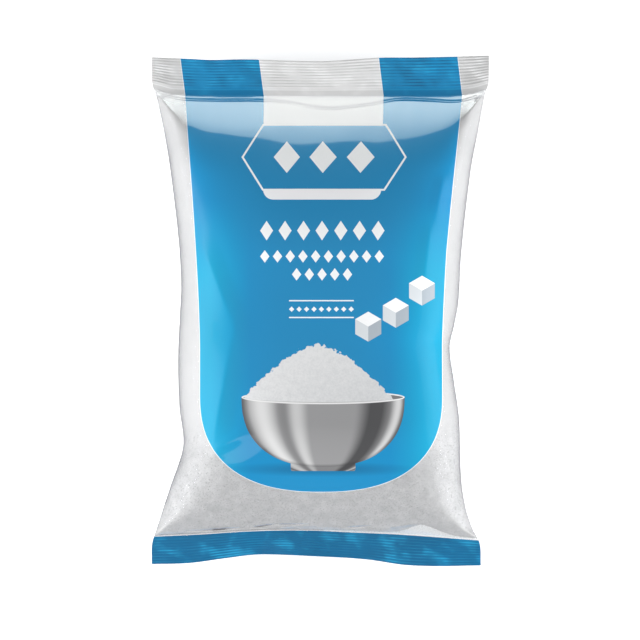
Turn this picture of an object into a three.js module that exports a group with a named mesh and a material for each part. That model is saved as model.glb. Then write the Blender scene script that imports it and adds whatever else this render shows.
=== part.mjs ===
// A five-kilogram pillow bag of granulated sugar, lying on its back with the printed front up.
// One tube of clear film is closed by a crimped seal across each end. The filling rounds the body,
// flattens it where it rests, and pulls its sides in, so the sealed corners stand out as ears.
//
// Millimetres. X runs across the bag, Y towards its top seal, and Z up from the surface it lies on.
// The origin is under the middle of the bag, on that surface.
import * as THREE from "three";

// Driving sizes
const CROWN = 91; // height of the front's highest stretch
const SIDE_LINE = 37; // height at which the body is widest
const BASE_PRESS = 9; // how far the weight presses the round underside flat
const WELD = 0.9; // thickness of the two films welded together
const CRIMP_PITCH = 2.6;
const CRIMP_DEPTH = 0.45; // from crest to valley

// The lines across the flat bag, by their place along Y
const TOP_CRIMPS = 10;
const TOP_CRIMP_END = 189.3;
const TOP_EDGE = TOP_CRIMP_END + TOP_CRIMPS * CRIMP_PITCH;
const TOP_FOLD = 182.4; // where the smooth band of the seal ends and the front rises
const CREASE_FROM = 167; // the stretch below the fold that holds the sagging crease
const CREASE_WIDTH = 1.6;
const CREASE_DEPTH = 0.4;
const FOOT_CRIMPS = 9;
const FOOT_CRIMP_END = -189.6;
const FOOT_EDGE = FOOT_CRIMP_END - FOOT_CRIMPS * CRIMP_PITCH;
const FOOT_FOLD = -186.5;

// The same lines followed across the bag: [x, y]
const topEdgeLine = curveThrough([
  [-142, 214.6], [-112, 213.4], [-92, 212.4], [-60, 212.8], [0, 211.3], [22, 212.4],
  [52, 214.4], [84, 214.4], [142, 216.2],
]);
const topFoldLine = curveThrough([
  [-142, 188.3], [-136, 186.6], [-124, 183.2], [-60, 182.4], [0, 182.2], [110, 182.3], [128, 184], [141, 188],
]);
const topCreaseLine = curveThrough([
  [-139, 184], [-114, 179.2], [-54, 178.5], [-32, 177.2], [-9, 172.8], [6, 171.2],
  [22, 172.2], [42, 174.9], [66, 179.2], [90, 178.7], [117, 177.6], [138, 184],
]);
const footFoldLine = curveThrough([
  [-142, -189.8], [-102, -188], [-60, -185.4], [-17, -184.6], [25, -186.4], [68, -188.3], [134, -193.2],
]);
const footEdgeLine = curveThrough([
  [-142, -213.8], [-112, -213], [-81, -209.1], [-51, -205.9], [0, -207.4],
  [40, -210], [70, -214.3], [101, -215.6], [136, -215.2],
]);

// Half widths of the bag to the left and to the right of its middle: [y, half width]
const leftSide = curveThrough([
  [-214, 142.8], [-196, 142.4], [-184, 138.6], [-150, 127.4], [-120, 117], [-107, 115.6],
  [-80, 119], [-40, 120.1], [0, 118.4], [22, 117.5], [60, 119.6], [120, 126.8],
  [153, 132.2], [182, 139], [190, 142], [215, 142.4],
]);
const rightSide = curveThrough([
  [-215, 135.8], [-196, 134.6], [-184, 128.4], [-165, 122.2], [-140, 118.6], [-90, 116.8],
  [-60, 112.6], [-30, 108.9], [-12, 112.6], [8, 116.2], [50, 118.7], [120, 126.8],
  [153, 133], [182, 138.6], [190, 141.6], [216, 142.4],
]);
const SEAL_END_X = 135; // how far out each line across the bag is read for the sides

// Ends of the body: how far the front takes to rise from a seal to its full height
const TOP_REACH = 138;
const FOOT_REACH = 92;
const TOP_SEAL_Z = 31;
const FOOT_SEAL_Z = 28;
const EAR_REACH = 62; // length of body over which the thin ears at the corners round out
const HIP_START = 10; // from here to the next length the corner's hip line softens
const HIP_REACH = 85;
const HIP_SHARPNESS = 7; // how crisply the end slope meets the side slope at a corner
const BODY_SHARPNESS = 1.4;
const FRONT_FULLNESS = 2.6; // 2 is an ellipse, and more is squarer
const BACK_FULLNESS = 3.2;

// Mesh steps
const COLUMNS = 30;
const FOOT_END_STEPS = 10;
const BODY_STEPS = 11;
const TOP_END_STEPS = 9;
const CREASE_STEPS = 9;
const BAG_WHITE = 0xe9edee;

// A smooth function through a few points, as cubic pieces whose slopes come from the neighbours.
function curveThrough(points) {
  const slope = points.map((point, i) => {
    const before = points[Math.max(i - 1, 0)];
    const after = points[Math.min(i + 1, points.length - 1)];
    return (after[1] - before[1]) / (after[0] - before[0]);
  });
  return (at) => {
    const last = points.length - 1;
    const held = THREE.MathUtils.clamp(at, points[0][0], points[last][0]);
    let i = 0;
    while (i < last - 1 && held > points[i + 1][0]) i += 1;
    const span = points[i + 1][0] - points[i][0];
    const t = (held - points[i][0]) / span;
    const rest = 1 - t;
    return (
      points[i][1] * (1 + 2 * t) * rest * rest +
      points[i + 1][1] * (3 - 2 * t) * t * t +
      span * t * rest * (slope[i] * rest - slope[i + 1] * t)
    );
  };
}

// How far a row of the mesh moves along Y, so that it follows the lines across the bag.
function rowShift(row, x) {
  const lines = [
    [FOOT_EDGE, footEdgeLine(x) - FOOT_EDGE],
    [FOOT_FOLD, footFoldLine(x) - FOOT_FOLD],
    [FOOT_FOLD + FOOT_REACH, 0],
    [TOP_FOLD - EAR_REACH, 0],
    [TOP_FOLD, topFoldLine(x) - TOP_FOLD],
    [TOP_EDGE, topEdgeLine(x) - TOP_EDGE],
  ];
  let i = 0;
  while (i < lines.length - 2 && row > lines[i + 1][0]) i += 1;
  const share = (row - lines[i][0]) / (lines[i + 1][0] - lines[i][0]);
  return THREE.MathUtils.lerp(lines[i][1], lines[i + 1][1], THREE.MathUtils.clamp(share, 0, 1));
}

// The rise of the front from a seal, from 0 at the fold to 1 on the crown.
function endRise(distance, reach) {
  const t = THREE.MathUtils.clamp(distance / reach, 0, 1);
  return 1 - (1 - t) ** 2;
}

// The rise from a side, from 0 at the bag's outline to 1 at its middle: round along the body and
// thin and pointed beside a seal.
function sideRise(across, roundness, fullness) {
  return Math.pow(Math.max(1 - Math.abs(across) ** fullness, 0), roundness);
}

// Two rises joined, so that each alone is kept where the other is full.
function joined(a, b, sharpness) {
  if (a <= 0 || b <= 0) return 0;
  return (a ** -sharpness + b ** -sharpness - 1) ** (-1 / sharpness);
}

// The crimp's relief in a seal: a run of ridges along X, pressed flatter in places.
function crimp(row, x) {
  const fromTop = row - TOP_CRIMP_END;
  const fromFoot = FOOT_CRIMP_END - row;
  const inTop = fromTop >= 0 && fromTop <= TOP_CRIMPS * CRIMP_PITCH;
  const inFoot = fromFoot >= 0 && fromFoot <= FOOT_CRIMPS * CRIMP_PITCH;
  if (!inTop && !inFoot) return 0;
  const pressed = 0.75 + 0.25 * Math.sin(x / 17 + (inTop ? 0.5 : 2));
  const phase = ((inTop ? fromTop : fromFoot) / CRIMP_PITCH) * 2 * Math.PI;
  return (CRIMP_DEPTH / 2) * pressed * (1 - Math.cos(phase));
}

// Slow waves of a seal, still at its fold and largest at its free edge.
function sealWave(row, x) {
  const top = THREE.MathUtils.clamp((row - TOP_FOLD) / (TOP_EDGE - TOP_FOLD), 0, 1);
  const foot = THREE.MathUtils.clamp((FOOT_FOLD - row) / (FOOT_FOLD - FOOT_EDGE), 0, 1);
  const topWave = 1.6 * Math.sin(x / 13 + 0.9) + 1.5 * Math.sin(x / 25 - 1.1);
  const footWave = 1.5 * Math.sin(x / 15 + 2.4) + 2.1 * Math.sin(x / 31 + 0.4);
  return top * topWave + foot * footWave;
}

// Height of the line where front and back meet, at the side of the body and along each seal.
function seamHeight(row) {
  const fromTop = TOP_FOLD - row;
  const fromFoot = row - FOOT_FOLD;
  if (fromTop < 0) return TOP_SEAL_Z - fromTop * 0.08 + Math.min(-fromTop, 7) * 0.25;
  if (fromFoot < 0) return FOOT_SEAL_Z + fromFoot * 0.1;
  const nearTop = (TOP_SEAL_Z - SIDE_LINE) * (1 - THREE.MathUtils.smoothstep(fromTop, 0, TOP_REACH));
  const nearFoot = (FOOT_SEAL_Z - SIDE_LINE) * (1 - THREE.MathUtils.smoothstep(fromFoot, 0, FOOT_REACH));
  return SIDE_LINE + nearTop + nearFoot;
}

// A point of the bag: across runs from -1 at the left outline to 1 at the right.
function bagPoint(row, across, isFront) {
  const left = leftSide(row + rowShift(row, -SEAL_END_X));
  const right = rightSide(row + rowShift(row, SEAL_END_X));
  const x = (right - left) / 2 + (across * (right + left)) / 2;
  const fromTop = TOP_FOLD - row;
  const fromFoot = row - FOOT_FOLD;
  const inBody = fromTop > 0 && fromFoot > 0;
  let rise = 0;
  if (inBody) {
    const fromSeal = Math.min(fromTop, fromFoot);
    const ear = 1 - THREE.MathUtils.smoothstep(fromSeal, 0, EAR_REACH);
    const hip = 1 - THREE.MathUtils.smoothstep(fromSeal, HIP_START, HIP_REACH);
    const end = Math.min(endRise(fromTop, TOP_REACH), endRise(fromFoot, FOOT_REACH));
    const sharpness = THREE.MathUtils.lerp(BODY_SHARPNESS, HIP_SHARPNESS, hip);
    const roundness = THREE.MathUtils.lerp(0.5, 0.85, ear);
    const fullness = THREE.MathUtils.lerp(isFront ? FRONT_FULLNESS : BACK_FULLNESS, 2, ear);
    const side = sideRise(across, roundness, fullness);
    rise = joined(end, side, sharpness);
  }
  const y = row + rowShift(row, x);
  const seam = seamHeight(row) + sealWave(row, x) + crimp(row, x);
  const crease = CREASE_DEPTH * Math.exp(-2.5 * ((y - topCreaseLine(x)) / CREASE_WIDTH) ** 2);
  const z = isFront
    ? seam + WELD / 2 + rise * (CROWN - SIDE_LINE) - crease
    : seam - WELD / 2 - rise * (SIDE_LINE + BASE_PRESS);
  return [x, y, Math.max(z, 0)];
}

function evenSteps(from, to, steps) {
  return Array.from({ length: steps }, (_, i) => from + ((to - from) * i) / steps);
}

// The rows of the mesh, from the foot seal's edge to the top seal's, with two for each crimp.
function meshRows() {
  return [
    ...evenSteps(FOOT_EDGE, FOOT_CRIMP_END, FOOT_CRIMPS * 2),
    FOOT_CRIMP_END,
    ...evenSteps(FOOT_FOLD, FOOT_FOLD + EAR_REACH, FOOT_END_STEPS),
    ...evenSteps(FOOT_FOLD + EAR_REACH, TOP_FOLD - EAR_REACH, BODY_STEPS),
    ...evenSteps(TOP_FOLD - EAR_REACH, CREASE_FROM, TOP_END_STEPS),
    ...evenSteps(CREASE_FROM, TOP_FOLD, CREASE_STEPS),
    TOP_FOLD,
    ...evenSteps(TOP_CRIMP_END, TOP_EDGE, TOP_CRIMPS * 2),
    TOP_EDGE,
  ];
}

// Front and back as two sheets of points joined round their rim into one closed body.
function bagGeometry() {
  const rows = meshRows();
  const across = Array.from({ length: COLUMNS + 1 }, (_, i) => Math.sin((i / COLUMNS - 0.5) * Math.PI));
  const sheet = rows.length * across.length;
  const position = [];
  for (const isFront of [true, false])
    for (const row of rows) for (const share of across) position.push(...bagPoint(row, share, isFront));

  const front = (r, c) => r * across.length + c;
  const back = (r, c) => sheet + front(r, c);
  const index = [];
  const quad = (a, b, c, d) => index.push(a, b, c, a, c, d);
  const lastRow = rows.length - 1;
  for (let r = 0; r < lastRow; r += 1) {
    for (let c = 0; c < COLUMNS; c += 1) {
      quad(front(r, c), front(r, c + 1), front(r + 1, c + 1), front(r + 1, c));
      quad(back(r, c + 1), back(r, c), back(r + 1, c), back(r + 1, c + 1));
    }
    quad(back(r, 0), front(r, 0), front(r + 1, 0), back(r + 1, 0));
    quad(front(r, COLUMNS), back(r, COLUMNS), back(r + 1, COLUMNS), front(r + 1, COLUMNS));
  }
  for (let c = 0; c < COLUMNS; c += 1) {
    quad(back(0, c), back(0, c + 1), front(0, c + 1), front(0, c));
    quad(front(lastRow, c), front(lastRow, c + 1), back(lastRow, c + 1), back(lastRow, c));
  }
  const geometry = new THREE.BufferGeometry();
  geometry.setAttribute("position", new THREE.Float32BufferAttribute(position, 3));
  geometry.setIndex(index);
  geometry.computeVertexNormals();
  return centred(geometry);
}

// The outline is measured from one middle line, so the finished shape is moved over its own middle.
function centred(geometry) {
  geometry.computeBoundingBox();
  const middle = geometry.boundingBox.getCenter(new THREE.Vector3());
  return geometry.translate(-middle.x, -middle.y, -geometry.boundingBox.min.z);
}

const film = new THREE.MeshStandardMaterial({ color: BAG_WHITE, roughness: 0.3, metalness: 0 });
const bag = new THREE.Mesh(bagGeometry(), film);
bag.name = "sugar_bag";

const sugarPacket = new THREE.Group();
sugarPacket.add(bag);

export default sugarPacket;
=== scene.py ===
import math

import bpy
import numpy as np
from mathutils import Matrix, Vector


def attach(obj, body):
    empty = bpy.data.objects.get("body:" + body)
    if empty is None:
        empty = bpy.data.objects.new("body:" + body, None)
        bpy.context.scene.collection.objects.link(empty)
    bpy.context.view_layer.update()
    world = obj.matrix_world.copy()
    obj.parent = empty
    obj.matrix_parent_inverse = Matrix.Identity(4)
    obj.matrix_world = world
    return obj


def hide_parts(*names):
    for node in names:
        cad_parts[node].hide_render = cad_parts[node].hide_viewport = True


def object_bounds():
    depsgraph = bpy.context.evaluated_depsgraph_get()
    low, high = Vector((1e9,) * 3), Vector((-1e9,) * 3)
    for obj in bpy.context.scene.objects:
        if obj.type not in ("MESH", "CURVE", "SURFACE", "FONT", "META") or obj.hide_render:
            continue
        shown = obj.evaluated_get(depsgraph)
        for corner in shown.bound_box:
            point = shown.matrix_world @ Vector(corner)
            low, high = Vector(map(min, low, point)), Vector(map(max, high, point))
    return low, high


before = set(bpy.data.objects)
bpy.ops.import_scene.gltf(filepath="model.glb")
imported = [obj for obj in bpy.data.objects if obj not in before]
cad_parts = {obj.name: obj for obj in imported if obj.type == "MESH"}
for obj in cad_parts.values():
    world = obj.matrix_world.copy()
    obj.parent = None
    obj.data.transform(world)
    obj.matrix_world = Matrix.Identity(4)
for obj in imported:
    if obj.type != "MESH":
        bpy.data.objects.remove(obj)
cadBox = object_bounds()
mm = 0.001

# A pillow bag of sugar on its back, printed front up. X runs across it, Y towards its top seal.
# Its shape follows the same sizes and formulas as the solid, in millimetres, at a finer step.
bag = {
    "crown": 91.0,  # height of the front's highest stretch
    "sideLine": 37.0,  # height at which the body is widest
    "basePress": 9.0,  # how far the weight presses the round underside flat
    "weld": 0.9,
    "sealEndX": 135.0,  # where each line across the bag meets the sides
    "topCrimps": 10,
    "footCrimps": 9,
    "crimpPitch": 2.6,
    "crimpDepth": 0.45,
    "topCrimpEnd": 189.3,
    "topFold": 182.4,
    "creaseFrom": 167.0,  # the stretch below the fold that holds the sagging crease
    "creaseWidth": 1.5,
    "creaseDepth": 0.6,
    "footCrimpEnd": -189.6,
    "footFold": -186.5,
    "topReach": 138.0,
    "footReach": 92.0,
    "topSealZ": 31.0,
    "footSealZ": 28.0,
    "earReach": 62.0,
    "hipStart": 10.0,
    "hipReach": 85.0,
    "hipSharpness": 7.0,
    "bodySharpness": 1.4,
    "frontFullness": 2.6,
    "backFullness": 3.2,
    "earFullness": 2.0,
    "bodyRoundness": 0.5,
    "earRoundness": 0.85,
    "topSealSlope": 0.08,
    "topSealStep": 7.0,  # the first stretch of the top seal stands a little steeper
    "topSealStepSlope": 0.25,
    "footSealSlope": 0.10,
}
bag["topEdge"] = bag["topCrimpEnd"] + bag["topCrimps"] * bag["crimpPitch"]
bag["footEdge"] = bag["footCrimpEnd"] - bag["footCrimps"] * bag["crimpPitch"]


def curveThrough(points):  # a smooth function through a few points, cubic between them
    at, height = np.array(points, float).T
    slope = np.empty_like(height)
    slope[1:-1] = (height[2:] - height[:-2]) / (at[2:] - at[:-2])
    slope[0] = (height[1] - height[0]) / (at[1] - at[0])
    slope[-1] = (height[-1] - height[-2]) / (at[-1] - at[-2])

    def curve(place):
        held = np.clip(place, at[0], at[-1])
        i = np.clip(np.searchsorted(at, held) - 1, 0, len(at) - 2)
        span = at[i + 1] - at[i]
        t = (held - at[i]) / span
        rest = 1 - t
        ends = height[i] * (1 + 2 * t) * rest**2 + height[i + 1] * (3 - 2 * t) * t**2
        return ends + span * t * rest * (slope[i] * rest - slope[i + 1] * t)

    return curve


# The lines across the bag: [x, y]
topEdgeLine = curveThrough([
    [-142, 214.6], [-112, 213.4], [-92, 212.4], [-60, 212.8], [0, 211.3], [22, 212.4],
    [52, 214.4], [84, 214.4], [142, 216.2],
])
topFoldLine = curveThrough([
    [-142, 188.3], [-136, 186.6], [-124, 183.2], [-60, 182.4], [0, 182.2],
    [110, 182.3], [128, 184], [141, 188],
])
topCreaseLine = curveThrough([
    [-139, 184], [-114, 179.2], [-54, 178.5], [-32, 177.2], [-9, 172.8], [6, 171.2],
    [22, 172.2], [42, 174.9], [66, 179.2], [90, 178.7], [117, 177.6], [138, 184],
])
footFoldLine = curveThrough([
    [-142, -189.8], [-102, -188], [-60, -185.4], [-17, -184.6], [25, -186.4], [68, -188.3], [134, -193.2],
])
footEdgeLine = curveThrough([
    [-142, -213.8], [-112, -213], [-81, -209.1], [-51, -205.9], [0, -207.4],
    [40, -210], [70, -214.3], [101, -215.6], [136, -215.2],
])

# Half widths to the left and to the right of the middle: [y, half width]
leftSide = curveThrough([
    [-214, 142.8], [-196, 142.4], [-184, 138.6], [-150, 127.4], [-120, 117], [-107, 115.6],
    [-80, 119], [-40, 120.1], [0, 118.4], [22, 117.5], [60, 119.6], [120, 126.8],
    [153, 132.2], [182, 139], [190, 142], [215, 142.4],
])
rightSide = curveThrough([
    [-215, 135.8], [-196, 134.6], [-184, 128.4], [-165, 122.2], [-140, 118.6], [-90, 116.8],
    [-60, 112.6], [-30, 108.9], [-12, 112.6], [8, 116.2], [50, 118.7], [120, 126.8],
    [153, 133], [182, 138.6], [190, 141.6], [216, 142.4],
])


def smoothStep(value, low, high):
    t = np.clip((value - low) / (high - low), 0, 1)
    return t * t * (3 - 2 * t)


def rowShift(row, x):  # how far a row moves along Y to follow the lines across the bag
    places = np.array([
        bag["footEdge"], bag["footFold"], bag["footFold"] + bag["footReach"],
        bag["topFold"] - bag["earReach"], bag["topFold"], bag["topEdge"],
    ])
    still = np.zeros_like(x)
    shifts = np.array([
        footEdgeLine(x) - places[0], footFoldLine(x) - places[1], still,
        still, topFoldLine(x) - places[4], topEdgeLine(x) - places[5],
    ])
    row = row + still
    i = np.clip(np.searchsorted(places, row) - 1, 0, len(places) - 2)
    share = np.clip((row - places[i]) / (places[i + 1] - places[i]), 0, 1)
    low = np.take_along_axis(shifts, i[None], 0)[0]
    high = np.take_along_axis(shifts, (i + 1)[None], 0)[0]
    return low + (high - low) * share


def endRise(distance, reach):  # from 0 at a seal's fold to 1 on the crown
    t = np.clip(distance / reach, 0, 1)
    return 1 - (1 - t) ** 2


def joined(a, b, sharpness):
    a = np.maximum(a, 1e-6)
    b = np.maximum(b, 1e-6)
    return np.maximum((a**-sharpness + b**-sharpness - 1) ** (-1 / sharpness), 0)


# How a seal's edge waves up and down: (height, width of a wave's radian, start)
topWaves = [(1.6, 13, 0.9), (1.5, 25, -1.1)]
footWaves = [(1.5, 15, 2.4), (2.1, 31, 0.4)]


def waveHeight(waves, x):
    return sum(height * np.sin(x / width + start) for height, width, start in waves)


def sealWave(row, x):
    top = np.clip((row - bag["topFold"]) / (bag["topEdge"] - bag["topFold"]), 0, 1)
    foot = np.clip((bag["footFold"] - row) / (bag["footFold"] - bag["footEdge"]), 0, 1)
    return top * waveHeight(topWaves, x) + foot * waveHeight(footWaves, x)


def seamHeight(row):
    fromTop = bag["topFold"] - row
    fromFoot = row - bag["footFold"]
    topDrop = (bag["topSealZ"] - bag["sideLine"]) * (1 - smoothStep(fromTop, 0, bag["topReach"]))
    footDrop = (bag["footSealZ"] - bag["sideLine"]) * (1 - smoothStep(fromFoot, 0, bag["footReach"]))
    body = bag["sideLine"] + topDrop + footDrop
    step = np.minimum(-fromTop, bag["topSealStep"]) * bag["topSealStepSlope"]
    topSeal = bag["topSealZ"] - fromTop * bag["topSealSlope"] + step
    footSeal = bag["footSealZ"] + fromFoot * bag["footSealSlope"]
    return np.where(fromTop < 0, topSeal, np.where(fromFoot < 0, footSeal, body))


def riseOf(row, across, isFront):
    fromTop = bag["topFold"] - row
    fromFoot = row - bag["footFold"]
    fromSeal = np.minimum(fromTop, fromFoot)
    ear = 1 - smoothStep(fromSeal, 0, bag["earReach"])
    hip = 1 - smoothStep(fromSeal, bag["hipStart"], bag["hipReach"])
    end = np.minimum(endRise(fromTop, bag["topReach"]), endRise(fromFoot, bag["footReach"]))
    sharpness = bag["bodySharpness"] + (bag["hipSharpness"] - bag["bodySharpness"]) * hip
    roundness = bag["bodyRoundness"] + (bag["earRoundness"] - bag["bodyRoundness"]) * ear
    full = bag["frontFullness"] if isFront else bag["backFullness"]
    fullness = full + (bag["earFullness"] - full) * ear
    side = np.maximum(1 - np.abs(across) ** fullness, 0) ** roundness
    inBody = (fromTop > 0) & (fromFoot > 0)
    return np.where(inBody, joined(end, side, sharpness), 0)


def bagSheet(row, across, isFront, inset=0.0):  # x, y and z of one side, in millimetres
    sealEnd = np.full_like(row, bag["sealEndX"])
    left = leftSide(row + rowShift(row, -sealEnd))
    right = rightSide(row + rowShift(row, sealEnd))
    x = (right - left) / 2 + across * (right + left) / 2
    y = row + rowShift(row, x)
    rise = riseOf(row, across, isFront)
    seam = seamHeight(row) + sealWave(row, x)
    crease = bag["creaseDepth"] * np.exp(-2.5 * ((y - topCreaseLine(x)) / bag["creaseWidth"]) ** 2)
    wall = bag["weld"] / 2 - inset
    front = seam + wall + rise * (bag["crown"] - bag["sideLine"]) - crease
    back = np.maximum(seam - wall - rise * (bag["sideLine"] + bag["basePress"]), inset)
    return x, y, front if isFront else back


# Folds of the slack film: each a low ridge or, where negative, a crease.
# It is highest a little way from its first end. Doubled shadow is how far the film lies over itself there,
# which makes the clear film milkier and lays a painted shadow along the pucker.
folds = [
    {"from": (139, 187), "to": (119, 159), "width": 3.2, "height": 1.3},
    {"from": (139, 185), "to": (132, 158), "width": 2.6, "height": 1.0},
    {"from": (-140, 187), "to": (-117, 158), "width": 2.8, "height": 0.9},
    {"from": (-92, -184.6), "to": (-60, -182.6), "width": 1.1, "height": -1.5, "doubledShadow": 0.6},
    {"from": (-56, -182.4), "to": (-34, -179.2), "width": 1.1, "height": -1.7, "doubledShadow": 0.8},
    {"from": (-34, -180.2), "to": (-6, -179.9), "width": 1.0, "height": -1.3, "doubledShadow": 0.6},
    {"from": (-80, -183.9), "to": (-118, -186.2), "width": 1.0, "height": -1.0, "doubledShadow": 0.5},
    {"from": (24, -182.6), "to": (46, -181.0), "width": 1.0, "height": -1.2, "doubledShadow": 0.5},
    {"from": (-117, -119), "to": (-88, -107), "width": 7.0, "height": -1.1},
    {"from": (110, -30), "to": (84, -20), "width": 7.0, "height": -1.0},
    {"from": (112, -140), "to": (96, -150), "width": 5.0, "height": -0.7},
    {"from": (60, -182), "to": (96, -176), "width": 2.6, "height": 0.8},
    {"from": (-104, 68), "to": (-62, -40), "width": 14.0, "height": 1.9},
    {"from": (-94, -130), "to": (-66, 20), "width": 15.0, "height": 2.2},
    {"from": (104, 116), "to": (93, 62), "width": 9.0, "height": 1.1},
    {"from": (93, 78), "to": (82, -10), "width": 10.0, "height": 1.2},
    {"from": (-94, -118), "to": (-44, -93), "width": 8.0, "height": 1.6},
]


foldFade = {
    "rise": 0.02,  # share of the length in which a fold rises, for each millimetre of its width
    "mostRise": 0.3,
    "fallFrom": 0.35,
    "sharpness": 1.3,
}


def foldSum(x, y, measure):  # the height, or the doubled share that also sets a painted shadow, that the folds give each point
    lift = np.zeros_like(x)
    for fold in folds:
        (x0, y0), (x1, y1) = fold["from"], fold["to"]
        length = math.hypot(x1 - x0, y1 - y0)
        along = ((x - x0) * (x1 - x0) + (y - y0) * (y1 - y0)) / length**2
        aside = ((x - x0) * (y1 - y0) - (y - y0) * (x1 - x0)) / length
        ridge = np.maximum(1 - np.abs(aside) / fold["width"], 0) ** foldFade["sharpness"]
        rise = smoothStep(along, 0.0, min(fold["width"] * foldFade["rise"], foldFade["mostRise"]))
        fall = 1 - smoothStep(along, foldFade["fallFrom"], 1.0)
        lift += fold.get(measure, 0) * ridge * rise * fall
    return lift


print("shape of the bag ready")


# Mesh work

def closedBody(name, front, back):  # two sheets of points, joined round their rim
    rows, columns = front[0].shape
    rowsBack, columnsBack = back[0].shape
    step = (columns - 1) // (columnsBack - 1)
    points = np.concatenate([
        np.stack([part.ravel() for part in front], 1),
        np.stack([part.ravel() for part in back], 1),
    ]) * mm
    f = np.arange(rows * columns).reshape(rows, columns)
    b = rows * columns + np.arange(rowsBack * columnsBack).reshape(rowsBack, columnsBack)
    faces = []
    for grid, turned in ((f, False), (b, True)):
        quads = np.stack([grid[:-1, :-1], grid[:-1, 1:], grid[1:, 1:], grid[1:, :-1]], -1).reshape(-1, 4)
        faces += (quads[:, ::-1] if turned else quads).tolist()
    for r in range(rows - 1):
        faces.append([b[r, 0], f[r, 0], f[r + 1, 0], b[r + 1, 0]])
        faces.append([f[r, -1], b[r, -1], b[r + 1, -1], f[r + 1, -1]])
    for c in range(columnsBack - 1):
        strip = [f[0, c * step + i] for i in range(step, -1, -1)]
        faces.append([b[0, c], b[0, c + 1]] + strip)
        strip = [f[-1, c * step + i] for i in range(step + 1)]
        faces.append([b[-1, c + 1], b[-1, c]] + strip)
    mesh = bpy.data.meshes.new(name)
    mesh.from_pydata(points.tolist(), [], [[int(i) for i in face] for face in faces])
    mesh.shade_smooth()
    piece = bpy.data.objects.new(name, mesh)
    bpy.context.scene.collection.objects.link(piece)
    return piece


def overMiddle(points, shift):  # the measured outline moved over the frame's middle
    x, y, z = points
    return x + shift[0], y + shift[1], z


def pointValue(piece, name, values):
    field = piece.data.attributes.new(name, "FLOAT", "POINT")
    field.data.foreach_set("value", np.asarray(values, np.float32).ravel())


film = {
    "columns": 160,  # on the front; half as many on the back
    "ridgeSteps": 6,  # rows to one rib
    "foldStep": 0.6,  # between rows beside a fold
    "bandStep": 1.0,
    "footStep": 1.2,
    "creaseStep": 1.4,
    "bodyStep": 2.2,
    "nearReach": 12.0,  # how far the finest rows reach from a fold
    "farReach": 30.0,  # and the less fine ones
}


def spread(low, high, step):
    count = max(int(round((high - low) / step)), 1)
    return np.linspace(low, high, count, endpoint=False)


def filmRows():
    ridge = bag["crimpPitch"] / film["ridgeSteps"]
    stretches = [  # where each starts, and the step between its rows
        (bag["footEdge"], ridge),
        (bag["footCrimpEnd"], film["bandStep"]),
        (bag["footFold"], film["foldStep"]),
        (bag["footFold"] + film["nearReach"], film["footStep"]),
        (bag["footFold"] + film["farReach"], film["bodyStep"]),
        (bag["creaseFrom"] - film["farReach"], film["creaseStep"]),
        (bag["creaseFrom"], film["foldStep"]),
        (bag["topFold"], film["foldStep"]),
        (bag["topCrimpEnd"], ridge),
    ]
    ends = [start for start, _ in stretches[1:]] + [bag["topEdge"]]
    parts = [spread(start, end, step) for (start, step), end in zip(stretches, ends)]
    return np.concatenate([*parts, [bag["topEdge"]]])


def acrossSteps(count):  # from the left outline, -1, to the right one, 1
    return np.sin((np.arange(count + 1) / count - 0.5) * math.pi)[None, :]


rows = filmRows()[:, None]
frontSheet = bagSheet(rows, acrossSteps(film["columns"]), True)
frontSheet[2][:] += foldSum(frontSheet[0], frontSheet[1], "height")
backSheet = bagSheet(rows, acrossSteps(film["columns"] // 2), False)
allX = np.concatenate([frontSheet[0].ravel(), backSheet[0].ravel()])
allY = np.concatenate([frontSheet[1].ravel(), backSheet[1].ravel()])
frameMiddle = [(cadBox[0][k] + cadBox[1][k]) / 2 / mm for k in (0, 1)]
shift = [
    frameMiddle[0] - (allX.min() + allX.max()) / 2,
    frameMiddle[1] - (allY.min() + allY.max()) / 2,
]
filmPiece = closedBody("bag_film", overMiddle(frontSheet, shift), overMiddle(backSheet, shift))


bakeSheet = {
    "starts": (0.02, 0.52),  # left edges of the front's and of the back's half
    "width": 0.46,
    "margin": 0.01,
    "even": 0.3,  # how much of the place across follows the column's number
    "rimStarts": (0.003, 0.993),
    "rimWidth": 0.004,
}


def bakeMap(piece, sheets, columns):  # front in the left half of the map, back in the right half
    places = []
    for (x, y, _), count, start in zip(sheets, columns, bakeSheet["starts"]):
        share = np.broadcast_to(np.arange(count + 1) / count, x.shape)
        across = (x - x.min()) / (x.max() - x.min()) * (1 - bakeSheet["even"]) + share * bakeSheet["even"]
        along = (y - y.min()) / (y.max() - y.min())
        u = start + across * bakeSheet["width"]
        v = bakeSheet["margin"] + along * (1 - 2 * bakeSheet["margin"])
        places.append(np.stack([u.ravel(), v.ravel()], 1))
    firstBack = len(places[0])
    places = np.concatenate(places)
    field = piece.data.uv_layers.new(name="OFBake").data
    for face in piece.data.polygons:
        onBack = [index >= firstBack for index in face.vertices]
        onRim = any(onBack) and not all(onBack)
        for loop, index, back in zip(face.loop_indices, face.vertices, onBack):
            u, v = places[index]
            if onRim:  # a thin strip of its own beside the two halves
                u = bakeSheet["rimStarts"][int(u % 0.5 > 0.25)] + bakeSheet["rimWidth"] * back
            field[loop].uv = (u, v)


bakeMap(filmPiece, (frontSheet, backSheet), (film["columns"], film["columns"] // 2))
rowOfPoint = np.concatenate([
    np.repeat(rows, film["columns"] + 1),
    np.repeat(rows, film["columns"] // 2 + 1),
])
sideOfPoint = np.concatenate([np.ones(frontSheet[0].size), np.zeros(backSheet[0].size)])
pointValue(filmPiece, "webPlace", rowOfPoint * mm)
pointValue(filmPiece, "frontSide", sideOfPoint)
doubledShadow = foldSum(frontSheet[0], frontSheet[1], "doubledShadow")
pointValue(filmPiece, "doubledShadow", np.concatenate([doubledShadow.ravel(), np.zeros(backSheet[0].size)]))
print("film:", len(filmPiece.data.polygons), "faces, shift", [round(float(s), 3) for s in shift])


# Nodes written as expressions

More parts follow.
